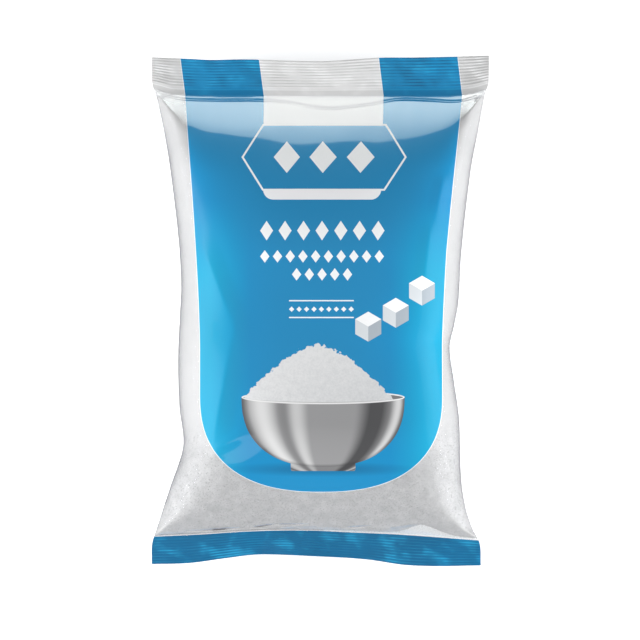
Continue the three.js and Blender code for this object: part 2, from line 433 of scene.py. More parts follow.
class Wire:
    def __init__(self, tree, socket=None):
        self.tree = tree
        self.socket = socket

    def make(self, kind, settings=None, sockets=None, out=0):
        node = self.tree.nodes.new(kind)
        for name, value in (settings or {}).items():
            setattr(node, name, value)
        for name, value in (sockets or {}).items():
            inlet = node.inputs[name]
            if isinstance(value, Wire):
                self.tree.links.new(value.socket, inlet)
            else:
                inlet.default_value = value
        return Wire(self.tree, node.outputs[out] if node.outputs else None)

    def outlet(self, name):
        return Wire(self.tree, self.socket.node.outputs[name])

    def math(self, operation, *values):
        sockets = dict(enumerate(values))
        return self.make("ShaderNodeMath", {"operation": operation}, sockets)

    def __add__(self, other):
        return self.math("ADD", self, other)

    def __radd__(self, other):
        return self.math("ADD", other, self)

    def __sub__(self, other):
        return self.math("SUBTRACT", self, other)

    def __rsub__(self, other):
        return self.math("SUBTRACT", other, self)

    def __mul__(self, other):
        return self.math("MULTIPLY", self, other)

    def __rmul__(self, other):
        return self.math("MULTIPLY", other, self)

    def __truediv__(self, other):
        return self.math("DIVIDE", self, other)

    def __rtruediv__(self, other):
        return self.math("DIVIDE", other, self)

    def __pow__(self, other):
        return self.math("POWER", self, other)

    def __neg__(self):
        return self.math("MULTIPLY", self, -1.0)

    def __abs__(self):
        return self.math("ABSOLUTE", self)

    def most(self, other):
        return self.math("MAXIMUM", self, other)

    def least(self, other):
        return self.math("MINIMUM", self, other)

    def held(self):
        return self.make("ShaderNodeClamp", {}, {"Value": self})


def laid(under, over, mask):  # a colour over another where the mask is 1
    return mask.make("ShaderNodeMix", {"data_type": "RGBA"}, {0: mask, 6: under, 7: over}, out=2)


def wave(value):
    return value.math("SINE", value)


def flatNoise(x, y, scale, detail):
    place = x.make("ShaderNodeCombineXYZ", {}, {0: x, 1: y})
    return x.make("ShaderNodeTexNoise", {}, {"Vector": place, "Scale": scale, "Detail": detail})


def lengthOf(a, b):
    return (a * a + b * b) ** 0.5


def valueInputs(tree, sizes):  # the tree's named inputs, and the wire that carries each
    tree.interface.new_socket("Geometry", in_out="INPUT", socket_type="NodeSocketGeometry")
    for name, value in sizes.items():
        kind = "NodeSocketInt" if isinstance(value, int) else "NodeSocketFloat"
        tree.interface.new_socket(name, in_out="INPUT", socket_type=kind).default_value = value
    tree.interface.new_socket("Geometry", in_out="OUTPUT", socket_type="NodeSocketGeometry")
    start = Wire(tree).make("NodeGroupInput")
    return {name: start.outlet(name) for name in ["Geometry", *sizes]}


def treeEnd(geometry, finish):
    real = geometry.make("GeometryNodeRealizeInstances", {}, {"Geometry": geometry})
    done = real.make("GeometryNodeSetMaterial", {}, {"Geometry": real, "Material": finish})
    done.make("NodeGroupOutput", {}, {"Geometry": done})


def plainResult(piece, tree, sizes):  # the mesh that the tree makes of the piece
    modifier = piece.modifiers.new(tree.name, "NODES")
    modifier.node_group = tree
    for item in tree.interface.items_tree:
        if item.in_out == "INPUT" and item.name in sizes:
            modifier[item.identifier] = sizes[item.name]
    evaluated = piece.evaluated_get(bpy.context.evaluated_depsgraph_get())
    mesh = bpy.data.meshes.new_from_object(evaluated)
    piece.modifiers.remove(modifier)
    return mesh


def pieceValue(wire, name):  # a value kept with the piece's points
    return wire.make("GeometryNodeInputNamedAttribute", {"data_type": "FLOAT"}, {"Name": name})


def shaderTree(name):
    finish = bpy.data.materials.new(name)
    finish.use_nodes = True
    finish.node_tree.nodes.clear()
    return finish, Wire(finish.node_tree)


# Printed film: a blue panel with a white tab and a few plain motifs, and clear film beside it
printed = {
    "centre": 0.8,
    "halfWidth": 101.5,  # of the blue panel, where the bag is narrowest
    "flare": 13.4,  # how much wider the panel looks at the top seal
    "flareFrom": -30.0,
    "flareTo": 181.0,
    "flareBend": 1.4,
    "footMiddle": -70.6,  # where the panel's sides start to turn into its rounded foot
    "footHeight": 81.0,
    "footRoundness": 2.4,
    "outline": 0.5,
    "softEdge": 0.25,
    "sealSkew": 4.0,
    "lean": 4.2,  # how far the right half of the print runs outwards at the top seal
    "leanFrom": 50.0,
    "leanReach": 45.0,
    "ruleCorner": 0.4,
    "tabHalf": 48.5,
    "tabFoot": 93.0,
    "tabTop": 260.0,  # past the bag's edge
    "tabCorner": 8.5,
    "blue": (0.003, 0.25, 0.52, 1),
    "paintedSideHighlight": (0.004, 0.345, 0.565, 1),  # painted highlight, lighter ink over the lower sides
    "sideFrom": 58.0,
    "sideTo": 92.0,
    "sideTop": 92.0,  # up here the painted highlight has faded back to the plain ink
    "sideTopReach": 60.0,
    "sealBlue": (0.004, 0.235, 0.49, 1),
    "white": (0.94, 0.945, 0.965, 1),
    "sealWhite": (0.76, 0.76, 0.76, 1),
    "sealEndWhite": (0.66, 0.66, 0.66, 1),
    "brightWhite": (0.93, 0.95, 0.96, 1),
    "milky": (0.95, 0.95, 0.96, 1),
    "puckerShadow": (0.16, 0.16, 0.165, 1),  # painted shadow along the film's puckers over the foot
    "puckerShadowStrength": 1.6,
    "footBlue": (0.003, 0.135, 0.295, 1),
    "paintedHighlightBlue": (0.018, 0.37, 0.66, 1),  # painted highlight on a seal's crests and lit patches, partly standing for wear
    # painted shade in a seal's valleys, hollows and smooth band
    "paintedShadeBlue": (0.002, 0.11, 0.25, 1),
    "paintedHighlightWhite": (0.97, 0.975, 0.98, 1),
    "paintedShadeWhite": (0.52, 0.52, 0.52, 1),
    "sealEndFrom": 100.0,
    "sealEndReach": 25.0,
    "sealOpacity": 0.85,
    "haze": 0.09,  # how much of the clear film is milky, more of it beside the top seal
    "sealHaze": 0.30,
    "sealHazeReach": 11.0,
    "sideHaze": 0.16,  # and up along the sides
    "sideHazeFrom": -112.0,
    "sideHazeTo": -78.0,
    "gloss": (0.87, 0.88, 1, 1),
    "glossRoughness": 0.09,
    "clear": (0.97, 0.98, 0.98, 1),
    "mirrorBend": 1.7,  # how fast the clear film mirrors more towards its edge
    "mirrorGain": 0.8,
    "mirrorLeast": 0.08,
}
plaque = {"centre": (2.0, 129.0), "half": (68.0, 28.5), "line": 1.6, "slant": 0.62}
lozenges = [  # rows of diamonds: centre, half size of one, pitch and number
    {"centre": (2.0, 129.0), "half": (11.0, 13.5), "pitch": 30.0, "number": 3},
    {"centre": (1.5, 67.0), "half": (5.4, 8.2), "pitch": 15.4, "number": 7},
    {"centre": (1.5, 45.5), "half": (3.9, 5.2), "pitch": 10.6, "number": 10},
    {"centre": (1.5, 30.5), "half": (3.9, 5.2), "pitch": 10.6, "number": 5},
    {"centre": (1.0, 1.5), "half": (2.2, 2.2), "pitch": 6.2, "number": 9},
]
rules = [  # thin straight lines: centre, half length and half width
    {"centre": (1.0, 8.6), "half": (27.0, 0.5)},
    {"centre": (1.0, -5.4), "half": (27.0, 0.5)},
]
bowl = {
    "centre": (2.4, -72.0),
    "half": 68.0,
    "depth": 58.0,
    "roundness": 2.35,
    "rimHeight": 5.6,
    "rimWidth": 1.3,
    "rimSoft": 0.4,
    "innerSoft": 0.5,
    "innerStrength": 0.8,
    "heapSoft": 0.6,
    "footHalf": 27.0,
    "footTop": -124.0,
    "footEnd": -133.6,
    "footCorner": 1.5,
    "footShade": 0.35,
    "heapHeight": 44.0,
    "heapPeak": -4.5,
    "heapHalf": 61.5,
    "heapBend": 1.55,
    "heapRim": 2.4,  # how far the heap stays inside the rim's ends
    "heapRise": 1.6,  # and inside its front
    "lumpScale": 210.0,
    "lumpHeight": 11.0,
    "grainScale": 620.0,
    "shadowHalf": (62.0, 5.0),
    "shadowDrop": 1.5,
    "shadowCore": 1.6,
    "shadowSoft": 1.2,
    "shadowStrength": 0.8,
    "narrowing": 0.8,  # how much the streaks draw together down the bowl
    "underShade": (2.4, 0.55),  # reach and strength of the dark line along the bowl's underside
    # Streaks: (place, half width, strength), from -1 at the left to 1 at the right
    "bright": [(-0.76, 0.22, 0.75), (-0.33, 0.16, 0.5), (0.92, 0.1, 0.6)],
    "dark": [(0.66, 0.28, 1.15), (-0.5, 0.13, 0.3), (-1.0, 0.1, 0.6), (1.02, 0.08, 0.6)],
    "darkStrength": 0.85,
    "steel": (0.30, 0.30, 0.305, 1),
    "steelLight": (0.80, 0.80, 0.80, 1),
    "steelDark": (0.03, 0.03, 0.033, 1),
    "heap": (0.73, 0.735, 0.74, 1),
    "heapShade": (0.50, 0.515, 0.53, 1),
    "shadow": (0.002, 0.15, 0.33, 1),
}
cubes = {
    "radius": 12.5,
    "centres": [(40.0, -13.0), (63.0, -1.5), (85.0, 17.0)],
    "top": (0.93, 0.94, 0.95, 1),
    "left": (0.66, 0.70, 0.73, 1),
    "right": (0.40, 0.45, 0.50, 1),
}


def ink(distance, soft=None):  # 1 inside a printed shape and 0 outside it
    return (0.5 - distance / ((soft or printed["softEdge"]) * mm)).held()


def boxField(x, y, centre, half, corner):  # distance from a box with round corners
    dx = abs(x - centre[0] * mm) - (half[0] - corner) * mm
    dy = abs(y - centre[1] * mm) - (half[1] - corner) * mm
    outside = lengthOf(dx.most(0.0), dy.most(0.0))
    return outside + dx.most(dy).least(0.0) - corner * mm


def panelField(x, y):  # distance from the blue panel, straight-sided with a rounded foot
    rise = ((y / mm - printed["flareFrom"]) / (printed["flareTo"] - printed["flareFrom"])).held()
    half = (rise ** printed["flareBend"] * printed["flare"] + printed["halfWidth"]) * mm
    across = abs(x - printed["centre"] * mm) / half
    down = ((printed["footMiddle"] * mm - y) / (printed["footHeight"] * mm)).most(0.0)
    power = printed["footRoundness"]
    return ((across**power + down**power) ** (1 / power) - 1) * half


def tabField(x, y):  # the tab hangs from the top edge, past which its box runs on
    half = (printed["tabTop"] - printed["tabFoot"]) / 2
    centre = (printed["centre"], printed["tabFoot"] + half)
    return boxField(x, y, centre, (printed["tabHalf"], half), printed["tabCorner"])


def plaqueField(x, y):  # a long box whose ends slope to a blunt point
    dx = abs(x - plaque["centre"][0] * mm)
    dy = abs(y - plaque["centre"][1] * mm)
    slope = math.hypot(1, plaque["slant"])
    ends = (dx + dy * plaque["slant"] - plaque["half"][0] * mm) / slope
    return ends.most(dy - plaque["half"][1] * mm)


def lozengeField(x, y, row):  # distance from the nearest diamond of a row
    dx = x - row["centre"][0] * mm
    dy = abs(y - row["centre"][1] * mm)
    pitch = row["pitch"] * mm
    odd = 0.0 if row["number"] % 2 else pitch / 2
    near = abs(dx.math("WRAP", dx + odd, pitch / 2, -pitch / 2))
    a, b = (part * mm for part in row["half"])
    diamond = (near / a + dy / b - 1) * (a * b / math.hypot(a, b))
    return diamond.most(abs(dx) - row["number"] * pitch / 2)


def bump(value, centre, width):  # 1 at the centre, smoothly down to 0 at the width
    far = (value - centre) / width
    return (1 - far * far).most(0.0) ** 2


def ellipseField(dx, dy, half, height):  # distance from an ellipse round the origin, in millimetres
    a = dx / (half * mm)
    b = dy / (height * mm)
    size = lengthOf(a, b)
    return (size - 1) * size / lengthOf(a / (half * mm), b / (height * mm)).most(0.001)


def streaks(turn, marks):  # the sum of a few soft upright streaks
    total = 0.0
    for place, width, strength in marks:
        total = bump(turn, place, width) * strength + total
    return total.held()


def bowlShadow(colour, dx, y):
    half, height = bowl["shadowHalf"]
    shade = lengthOf(dx / half, (y - (bowl["footEnd"] + bowl["shadowDrop"]) * mm) / height) / mm
    mask = (bowl["shadowCore"] - shade * bowl["shadowSoft"]).held()
    return laid(colour, bowl["shadow"], mask * bowl["shadowStrength"])


def bowlSteel(colour, x, y, dx, dy):
    across = dx / (bowl["half"] * mm)
    down = (-dy / (bowl["depth"] * mm)).most(0.0)
    power = bowl["roundness"]
    body = ((abs(across) ** power + down**power) ** (1 / power) - 1) * (bowl["depth"] * mm)
    body = body.most(dy)
    footMiddle = (bowl["footTop"] + bowl["footEnd"]) / 2
    footHeight = (bowl["footTop"] - bowl["footEnd"]) / 2
    foot = boxField(x, y, (bowl["centre"][0], footMiddle), (bowl["footHalf"], footHeight), bowl["footCorner"])
    turn = across / (1 - down * down * bowl["narrowing"]).most(0.04) ** 0.5
    steel = laid(bowl["steel"], bowl["steelLight"], streaks(turn, bowl["bright"]))
    steel = laid(steel, bowl["steelDark"], streaks(turn, bowl["dark"]) * bowl["darkStrength"])
    colour = laid(colour, laid(steel, bowl["steelDark"], ink(foot) * bowl["footShade"]), ink(foot))
    reach, strength = bowl["underShade"]
    under = (1 + body / (reach * mm)).held() * strength
    colour = laid(colour, laid(steel, bowl["steelDark"], under), ink(body))
    ring = ellipseField(dx, dy, bowl["half"], bowl["rimHeight"])
    colour = laid(colour, bowl["steelLight"], ink(ring, bowl["rimSoft"]))
    inner = ink(ring + bowl["rimWidth"] * mm, bowl["innerSoft"])
    return laid(colour, bowl["steelDark"], inner * bowl["innerStrength"])


def heapPrint(colour, x, y, dx, dy):  # the sugar heaped in the bowl
    lumps = flatNoise(x, y, bowl["lumpScale"], 4.0)
    grains = flatNoise(x, y, bowl["grainScale"], 2.0)
    away = abs(dx - bowl["heapPeak"] * mm) / (bowl["heapHalf"] * mm)
    top = (1 - away ** bowl["heapBend"]) * (bowl["heapHeight"] * mm)
    top = top + (lumps - 0.5) * (bowl["lumpHeight"] * mm)
    under = ellipseField(dx, dy, bowl["half"] - bowl["heapRim"], bowl["rimHeight"] - bowl["heapRise"])
    heap = ((dy - top) * 0.8).most(under.least(-dy))
    rightward = dx / (bowl["half"] * mm) * 0.45
    upward = (dy / (bowl["heapHeight"] * mm) - 0.4) * 0.6
    side = (0.45 + rightward - upward).held()
    mottle = (side * 0.5 + (lumps - 0.5) * 0.7 + (grains - 0.5) * 0.7).held()
    return laid(colour, laid(bowl["heap"], bowl["heapShade"], mottle), ink(heap, bowl["heapSoft"]))


def bowlPrint(colour, x, y):  # a heaped steel bowl over its shadow
    dx = x - bowl["centre"][0] * mm
    dy = y - bowl["centre"][1] * mm
    colour = bowlShadow(colour, dx, y)
    colour = bowlSteel(colour, x, y, dx, dy)
    return heapPrint(colour, x, y, dx, dy)


def cubePrint(colour, x, y, centre):  # a lump of sugar, seen from above one corner
    dx = x - centre[0] * mm
    dy = y - centre[1] * mm
    side = abs(dx)
    half = cubes["radius"] * mm * math.sqrt(3) / 2
    edge = side.most(side * 0.5 + abs(dy) * math.sqrt(3) / 2) - half
    face = laid(cubes["left"], cubes["right"], ink(-dx))
    face = laid(face, cubes["top"], ink(side / math.sqrt(3) - dy))
    return laid(colour, face, ink(edge))


def frontPrint(colour, x, y, white):
    tab = tabField(x, y)
    colour = laid(colour, printed["brightWhite"], ink(tab))
    colour = laid(colour, white, ink(tab + printed["outline"] * mm))
    board = plaqueField(x, y)
    colour = laid(colour, printed["brightWhite"], ink(board))
    colour = laid(colour, printed["blue"], ink(board + plaque["line"] * mm))
    marks = [ink(boxField(x, y, rule["centre"], rule["half"], printed["ruleCorner"])) for rule in rules]
    marks += [ink(lozengeField(x, y, row)) for row in lozenges]
    for mark in marks:
        colour = laid(colour, printed["brightWhite"], mark)
    colour = bowlPrint(colour, x, y)
    for centre in cubes["centres"]:
        colour = cubePrint(colour, x, y, centre)
    return colour


# Painted light on the seals, partly standing for wear: painted highlights on the rib crests, in patches and
# along a ledge below the ribs, and painted shade in hollows, valleys and on the smooth band between fold and
# ribs
sealWearAndLight = {
    "blotchScale": 46.0,
    "crispScale": 62.0,
    "crispFrom": 0.34,
    "crispGain": 3.2,
    "wornAndLitFrom": 0.01,
    "wornAndLitGain": 5.0,
    "wornAndLitStrength": 0.35,
    "wornAndLitCrest": 1.6,
    "crest": 0.28,
    "valley": 0.62,
    "hollowShadeGain": 3.0,
    "hollowShade": 0.75,
    "paleHollowShade": 0.4,  # how much weaker the painted hollow shade is on white
    "band": 0.42,
    "bandGap": 0.6,
    "ledgeHighlight": 0.5,
    "ledgeHeight": 1.4,
    "ledgeWidth": 0.9,
    "strength": 0.9,
}


def ribHighlightAndShade(past, blotch, crispness):  # painted highlights on the crests and painted shade in the valleys of the ribs, where they are crisp
    crisp = ((crispness - sealWearAndLight["crispFrom"]) * sealWearAndLight["crispGain"]).held() * (past * 2000).held()
    ribs = wave(past * (2 * math.pi / (bag["crimpPitch"] * mm)) + blotch * 1.2)
    return (ribs * 1.3 - 0.15).held() * crisp, (-ribs * 1.3 - 0.15).held() * crisp


def sealWearAndPaintedLight(colour, x, y, row, seal, pale):
    blotch = flatNoise(x + y * 0.35, y * 1.2, sealWearAndLight["blotchScale"], 2.0) - 0.5
    crispness = flatNoise(x * 0.8 + 0.3, y * 1.6, sealWearAndLight["crispScale"], 2.0)
    past = (row - bag["topCrimpEnd"] * mm).most(bag["footCrimpEnd"] * mm - row)
    crest, valley = ribHighlightAndShade(past, blotch, crispness)
    wornAndLit = ((blotch - sealWearAndLight["wornAndLitFrom"]) * sealWearAndLight["wornAndLitGain"]).held()
    wornAndLit = wornAndLit * sealWearAndLight["wornAndLitStrength"] + wornAndLit * crest * sealWearAndLight["wornAndLitCrest"] + crest * sealWearAndLight["crest"]
    ledgeHighlight = bump(row, (bag["topCrimpEnd"] - sealWearAndLight["ledgeHeight"]) * mm, sealWearAndLight["ledgeWidth"] * mm)
    hollowShade = (-blotch * sealWearAndLight["hollowShadeGain"]).held() * (sealWearAndLight["hollowShade"] - pale * sealWearAndLight["paleHollowShade"])
    hollowShade = hollowShade + valley * sealWearAndLight["valley"]
    band = ink(past + sealWearAndLight["bandGap"] * mm) * ink(bag["topFold"] * mm - row) * sealWearAndLight["band"]
    highlightColour = laid(printed["paintedHighlightBlue"], printed["paintedHighlightWhite"], pale)
    dark = laid(printed["paintedShadeBlue"], printed["paintedShadeWhite"], pale)
    # painted shade first, then painted highlights; the patches also stand for worn places of the seal
    colour = laid(colour, dark, (hollowShade * seal).most(band).held())
    return laid(colour, highlightColour, (wornAndLit + ledgeHighlight * sealWearAndLight["ledgeHighlight"]).held() * seal * sealWearAndLight["strength"])


def attributeOf(wire, name):  # a value kept with the piece's points, read by its finish
    return wire.make("ShaderNodeAttribute", {"attribute_name": name}, out=2)


def webPlaces(x, y, row):  # where a point lay on the flat web when it was printed
    inTop = ((row - bag["topFold"] * mm) / ((bag["topEdge"] - bag["topFold"]) * mm)).held()
    x = x + inTop * printed["sealSkew"] * mm
    climb = ((y / mm - printed["leanFrom"]) / (bag["topFold"] - printed["leanFrom"])).held()
    return x - climb * (x / (printed["leanReach"] * mm)).held() * (printed["lean"] * mm)


def blueInkAndSideHighlight(x, y, inSeal):
    aside = (abs(x) / mm - printed["sideFrom"]) / (printed["sideTo"] - printed["sideFrom"])
    below = ((printed["sideTop"] - y / mm) / printed["sideTopReach"]).held()
    # the ink is painted lighter towards the sides, a painted highlight that fades out towards the top
    blue = laid(printed["blue"], printed["paintedSideHighlight"], aside.held() * below)
    return laid(blue, printed["sealBlue"], inSeal)


def milkiness(y, row, doubledShadow):  # how much the clear film hides of the sugar
    fromFold = bag["topFold"] * mm - row
    haze = (1 - fromFold / (printed["sealHazeReach"] * mm)).held() * printed["sealHaze"] + printed["haze"]
    up = (y / mm - printed["sideHazeFrom"]) / (printed["sideHazeTo"] - printed["sideHazeFrom"])
    return haze + up.held() * (printed["sideHaze"] - printed["haze"]) + doubledShadow


def clearShader(start):
    look = {"Color": printed["gloss"], "Roughness": printed["glossRoughness"]}
    gloss = start.make("ShaderNodeBsdfGlossy", {}, look)
    clear = start.make("ShaderNodeBsdfTransparent", {}, {"Color": printed["clear"]})
    edgeOn = start.make("ShaderNodeLayerWeight", {}, {"Blend": 0.5}).outlet("Facing")
    mirror = edgeOn ** printed["mirrorBend"] * printed["mirrorGain"] + printed["mirrorLeast"]
    return start.make("ShaderNodeMixShader", {}, {0: mirror, 1: clear, 2: gloss})


def filmFinish():
    finish, start = shaderTree("printed film")
    place = start.make("ShaderNodeTexCoord").outlet("Object")
    split = place.make("ShaderNodeSeparateXYZ", {}, {0: place})
    y = split.outlet("Y")
    row = attributeOf(start, "webPlace")
    doubledShadow = attributeOf(start, "doubledShadow")
    x = webPlaces(split.outlet("X"), y, row)
    panel = panelField(x, y)
    panelInk = ink(panel)
    edgeInk = ink(panel - printed["outline"] * mm)
    footInk = ink(row - (bag["footFold"] - 0.6) * mm)
    inSeal = ink((bag["topFold"] + 0.5) * mm - row)
    sealEnd = ((abs(x) / mm - printed["sealEndFrom"]) / printed["sealEndReach"]).held()
    sealWhite = laid(printed["sealWhite"], printed["sealEndWhite"], sealEnd)
    white = laid(printed["white"], sealWhite, inSeal)
    # a painted shadow along the foot's puckers, over the clear film's milky colour
    bare = laid(printed["milky"], printed["puckerShadow"], doubledShadow * printed["puckerShadowStrength"])
    colour = laid(laid(bare, sealWhite, inSeal), printed["brightWhite"], edgeInk)
    colour = laid(colour, blueInkAndSideHighlight(x, y, inSeal), panelInk)
    colour = laid(colour, frontPrint(colour, x, y, white), attributeOf(start, "frontSide"))
    colour = laid(colour, printed["footBlue"], footInk)
    seal = inSeal.most(footInk)
    pale = ((colour.make("ShaderNodeSeparateColor", {}, {0: colour}) - 0.1) * 4.0).held()  # ink without blue
    colour = sealWearAndPaintedLight(colour, x, y, row, seal, pale)
    solid = edgeInk.most(footInk).most(inSeal * printed["sealOpacity"]).most(milkiness(y, row, doubledShadow))
    dull = pale * panelInk * 0.6
    printShader = start.make("ShaderNodeBsdfPrincipled", {}, {
        "Base Color": colour, "Roughness": 0.32 + seal * 0.14, "Coat Weight": 1 - dull - seal * 0.4,
        "Coat Roughness": 0.06, "Coat IOR": 1.8, "Specular IOR Level": 0.35,
    })
    whole = start.make("ShaderNodeMixShader", {}, {0: solid, 1: clearShader(start), 2: printShader})
    start.make("ShaderNodeOutputMaterial", {}, {"Surface": whole})
    return finish


# Relief of the film: ribs pressed across each seal, flatter in places, and the slack of the body
crimps = {
    "Pitch": bag["crimpPitch"] * mm,
    "Depth": bag["crimpDepth"] * mm,
    "Top Start": bag["topCrimpEnd"] * mm,
    "Foot Start": -bag["footCrimpEnd"] * mm,
    "Slack": 0.9 * mm,
    "Slack Size": 55 * mm,
    "Pucker": 0.5 * mm,
    "Pucker Size": 9 * mm,
    "Seal Wave": 2.2 * mm,
    "Seal Wave Size": 21 * mm,
    "Seal Wave Rise": 18 * mm,
    "Press Size": 23.81 * mm,  # of the patches where the ribs are pressed flatter
    "Slack Rise": 30 * mm,
    "Pucker Reach": 45 * mm,
    "Pucker Rise": 4 * mm,
    "Seed": 5,
}


def crimpTree(finish):
    tree = bpy.data.node_groups.new("seal crimps", "GeometryNodeTree")
    given = valueInputs(tree, crimps)
    start = Wire(tree)
    row = pieceValue(start, "webPlace")
    front = pieceValue(start, "frontSide")
    place = start.make("GeometryNodeInputPosition")
    split = place.make("ShaderNodeSeparateXYZ", {}, {0: place})
    x = split.outlet("X")
    seed = given["Seed"] * 3.7

    def noiseOf(vector, scale, detail=1.0):
        sizes = {"Vector": vector, "W": seed, "Scale": scale, "Detail": detail}
        return start.make("ShaderNodeTexNoise", {"noise_dimensions": "4D"}, sizes) - 0.5

    past = (row - given["Top Start"]).most(-row - given["Foot Start"])
    ribbed = past.math("GREATER_THAN", past, 0.0)
    turn = past / given["Pitch"] * (2 * math.pi)
    pressed = (noiseOf(place, 1 / given["Press Size"]) * 3.2 + 0.62).held()
    ribs = (1 - turn.math("COSINE", turn)) * given["Depth"] * pressed * ribbed * 0.5
    fromSeal = (bag["topFold"] * mm - row).least(row - bag["footFold"] * mm)
    inBody = (fromSeal / given["Slack Rise"]).held()
    slack = noiseOf(place, 1 / given["Slack Size"]) * given["Slack"] * 2 * inBody * front
    line = start.make("ShaderNodeCombineXYZ", {}, {"X": x, "Y": row * 0.12})
    near = (1 - fromSeal / given["Pucker Reach"]).held() * (fromSeal / given["Pucker Rise"]).held()
    puckers = noiseOf(line, 1 / given["Pucker Size"]) * given["Pucker"] * 2 * near * near * front
    out = (row - bag["topFold"] * mm).most(bag["footFold"] * mm - row)
    ahead = start.make("ShaderNodeCombineXYZ", {}, {"X": x, "Y": row * 0.45})
    rise = (out / given["Seal Wave Rise"]).held()
    waves = noiseOf(ahead, 1 / given["Seal Wave Size"]) * given["Seal Wave"] * 2 * rise
    offset = start.make("ShaderNodeCombineXYZ", {}, {"Z": ribs + slack + puckers + waves})
    moved = start.make("GeometryNodeSetPosition", {}, {"Geometry": given["Geometry"], "Offset": offset})
    treeEnd(moved, finish)
    return tree


filmLook = filmFinish()
filmPiece.data = plainResult(filmPiece, crimpTree(filmLook), crimps)
filmPiece.data.name = "bag_film"
print("film crimped and printed")


# Sugar: what the bag holds, up against the film, with grains in relief
sugar = {
    "inset": 0.8,
    "footGap": -0.6,
    "topGap": 4.0,
    "columns": 170,
    "step": 1.7,
    "fineEnd": 12.0,  # beside the foot seal the rows stand closer
    "fineStep": 0.6,
    "pocketAt": 0.68,  # an empty pocket over the foot seal: place and half width across
    "pocketWidth": 0.12,
    "pocketHeight": 8.0,
    "slackRight": 1.6,  # the right half stands this much clear of the foot seal
    "topRound": 26.0,  # stretch in which its top end closes
    "topLeast": 0.12,
    # the darker sugar colour serves the mottle and the painted shade towards the foot
    "shade": (0.50, 0.495, 0.50, 1),
    "colour": (0.775, 0.765, 0.76, 1),
    "smoothFrom": -125.0,  # above this line the sides' mottle fades, and with it the painted shade that darkens the sugar towards the foot
    "smoothTo": -80.0,
}
relief = {
    "Clump Size": 4.5 * mm,
    "Clump Height": 0.28 * mm,
    "Grain Size": 1.3 * mm,
    "Grain Height": 0.16 * mm,
    "Seed": 3,
}


def sugarFinish():
    finish, start = shaderTree("sugar")
    place = start.make("ShaderNodeTexCoord").outlet("Object")
    clumps = start.make("ShaderNodeTexNoise", {}, {"Vector": place, "Scale": 130.0, "Detail": 4.5})
    grains = start.make("ShaderNodeTexVoronoi", {}, {"Vector": place, "Scale": 1300.0}).outlet("Color")
    spark = grains.make("ShaderNodeSeparateColor", {}, {0: grains})
    y = place.make("ShaderNodeSeparateXYZ", {}, {0: place}).outlet("Y")
    # the sugar is painted darker towards the foot, painted shade, and its mottle is stronger there
    low = ((sugar["smoothTo"] - y / mm) / (sugar["smoothTo"] - sugar["smoothFrom"])).held() * 0.75 + 0.25
    shade = (((clumps - 0.5) * 1.2 + (spark - 0.5) * 0.3) * low + 0.82 - low * 0.25).held()
    colour = laid(sugar["shade"], sugar["colour"], shade)
    grain = start.make("ShaderNodeBump", {}, {"Strength": 0.6, "Distance": 0.4 * mm, "Height": spark})
    shader = start.make("ShaderNodeBsdfPrincipled", {}, {
        "Base Color": colour, "Roughness": 0.45, "Normal": grain,
    })
    start.make("ShaderNodeOutputMaterial", {}, {"Surface": shader})
    return finish


def reliefTree(finish):
    tree = bpy.data.node_groups.new("sugar relief", "GeometryNodeTree")
    given = valueInputs(tree, relief)
    start = Wire(tree)
    place = start.make("GeometryNodeInputPosition")
    seed = given["Seed"] * 7.31

    def bumps(width):
        noise = {"Vector": place, "W": seed, "Scale": 1 / width, "Detail": 1.5}
        return start.make("ShaderNodeTexNoise", {"noise_dimensions": "4D"}, noise)

    clumps = bumps(given["Clump Size"]) * given["Clump Height"]
    sunk = clumps + bumps(given["Grain Size"]) * given["Grain Height"]
    out = start.make("GeometryNodeInputNormal")
    offset = out.make("ShaderNodeVectorMath", {"operation": "SCALE"}, {0: out, "Scale": -sunk})
    moved = start.make("GeometryNodeSetPosition", {}, {"Geometry": given["Geometry"], "Offset": offset})
    treeEnd(moved, finish)
    return tree


def sugarSheet(isFront):
    count = sugar["columns"] if isFront else sugar["columns"] // 2
    across = acrossSteps(count)
    length = bag["topFold"] - bag["footFold"] - sugar["topGap"]
    share = np.concatenate([
        np.linspace(0, sugar["fineEnd"] / length, int(sugar["fineEnd"] / sugar["fineStep"]), endpoint=False),
        np.linspace(sugar["fineEnd"] / length, 1, int(length / sugar["step"])),
    ])[:, None]
    pocket = sugar["pocketHeight"] * np.exp(-(((across - sugar["pocketAt"]) / sugar["pocketWidth"]) ** 2))
    clear = sugar["slackRight"] * smoothStep(across, -0.05, 0.12)
    foot = bag["footFold"] + sugar["footGap"] + pocket + clear
    row = foot + (bag["topFold"] - sugar["topGap"] - foot) * share
    x, y, z = bagSheet(row, across * 0.9985, isFront, sugar["inset"])
    z = z + foldSum(x, y, "height") * isFront
    fromEnd = np.clip((bag["topFold"] - sugar["topGap"] - row) / sugar["topRound"], 0, 1)
    shut = sugar["topLeast"] + (1 - sugar["topLeast"]) * (1 - (1 - fromEnd) ** 2) ** 0.5
    seam = seamHeight(row)
    return x, y, seam + (z - seam) * shut


sugarLook = sugarFinish()
sugarPiece = closedBody("sugar", overMiddle(sugarSheet(True), shift), overMiddle(sugarSheet(False), shift))
sugarPiece.data = plainResult(sugarPiece, reliefTree(sugarLook), relief)
sugarPiece.data.name = "sugar"
print("sugar:", len(sugarPiece.data.polygons), "faces")

# Loose crystals: small cubes half sunk in the sugar, where the film is clear
crystals = {
    "Density": 170000.0,  # for each square metre
    "Least": 0.45 * mm,
    "Most": 0.75 * mm,
    "Top End": -90.0 * mm,
    "Fade": 60.0 * mm,
    "Seed": 11,
}


def crystalFinish():
    finish, start = shaderTree("crystals")
    start.make("ShaderNodeOutputMaterial", {}, {"Surface": start.make("ShaderNodeBsdfPrincipled", {}, {
        "Base Color": (0.66, 0.66, 0.66, 1), "Roughness": 0.25,
    })})
    return finish


